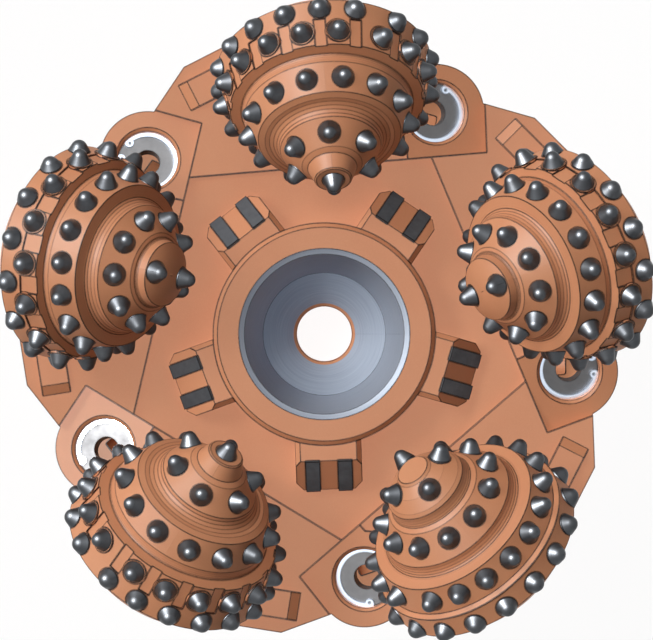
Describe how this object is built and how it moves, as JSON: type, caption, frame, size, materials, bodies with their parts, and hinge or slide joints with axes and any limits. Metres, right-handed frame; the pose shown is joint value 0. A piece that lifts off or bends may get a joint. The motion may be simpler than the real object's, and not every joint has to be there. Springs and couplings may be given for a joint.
{
  "type": "hole opener",
  "caption": "Roller-cone hole opener: five insert cones on arms around a pentagonal hub with a box connection, jet nozzles and a pin shank.",
  "frame": {"origin": "on the tool axis at the free end of the pin", "axes": "+Z along the tool axis towards the cutting side; +X lies 94.8 degrees clockwise of the first arm, seen from the cutting side"},
  "size_m": [0.7485, 0.7325, 0.8668],
  "materials": {
    "body_steel": "satin copper-coloured coating",
    "machined_steel": "satin copper-coloured coating, bare steel inside the box connection",
    "carbide": "ground tungsten carbide",
    "bearing_bronze": "turned",
    "ball_steel": "polished",
    "seal_rubber": "moulded",
    "nozzle_carbide": "ground",
    "spring_steel": "bright",
    "plug_steel": "ground"
  },
  "bodies": {
    "root": {"mandrel": "machined_steel", "hub_body": "body_steel", "arm_1": "body_steel", "arm_2": "body_steel", "arm_3": "body_steel", "arm_4": "body_steel", "arm_5": "body_steel", "nozzle_1": "nozzle_carbide", "nozzle_2": "nozzle_carbide", "nozzle_3": "nozzle_carbide", "nozzle_4": "nozzle_carbide", "nozzle_5": "nozzle_carbide", "snap_ring_1": "spring_steel", "snap_ring_2": "spring_steel", "snap_ring_3": "spring_steel", "snap_ring_4": "spring_steel", "snap_ring_5": "spring_steel", "wear_block_1": "body_steel", "wear_block_2": "body_steel", "wear_block_3": "body_steel", "wear_block_4": "body_steel", "wear_block_5": "body_steel", "block_carbides": "carbide", "nozzle_o_rings": "seal_rubber", "ball_plugs": "plug_steel", "reservoir_caps": "plug_steel", "reservoir_diaphragms": "seal_rubber", "gauge_buttons": "carbide"},
    "cone_body_1": {"cone_1": "body_steel", "inserts_1": "carbide", "bushes_1": "bearing_bronze", "balls_1": "ball_steel", "seal_1": "seal_rubber"},
    "cone_body_2": {"cone_2": "body_steel", "inserts_2": "carbide", "bushes_2": "bearing_bronze", "balls_2": "ball_steel", "seal_2": "seal_rubber"},
    "cone_body_3": {"cone_3": "body_steel", "inserts_3": "carbide", "bushes_3": "bearing_bronze", "balls_3": "ball_steel", "seal_3": "seal_rubber"},
    "cone_body_4": {"cone_4": "body_steel", "inserts_4": "carbide", "bushes_4": "bearing_bronze", "balls_4": "ball_steel", "seal_4": "seal_rubber"},
    "cone_body_5": {"cone_5": "body_steel", "inserts_5": "carbide", "bushes_5": "bearing_bronze", "balls_5": "ball_steel", "seal_5": "seal_rubber"}
  },
  "joints": [
    {"name": "cone_spin_1", "type": "hinge", "parent": "root", "child": "cone_body_1", "pos_m": [0.00031, 0.29504, 0.739], "axis": [0.0664, -0.7906, 0.6088], "continuous": true},
    {"name": "cone_spin_2", "type": "hinge", "parent": "root", "child": "cone_body_2", "pos_m": [-0.2805, 0.09147, 0.739], "axis": [0.7724, -0.1812, 0.6088], "continuous": true},
    {"name": "cone_spin_3", "type": "hinge", "parent": "root", "child": "cone_body_3", "pos_m": [-0.17367, -0.2385, 0.739], "axis": [0.411, 0.6786, 0.6088], "continuous": true},
    {"name": "cone_spin_4", "type": "hinge", "parent": "root", "child": "cone_body_4", "pos_m": [0.17316, -0.23887, 0.739], "axis": [-0.5184, 0.6006, 0.6088], "continuous": true},
    {"name": "cone_spin_5", "type": "hinge", "parent": "root", "child": "cone_body_5", "pos_m": [0.28069, 0.09087, 0.739], "axis": [-0.7314, -0.3074, 0.6088], "continuous": true}
  ]
}
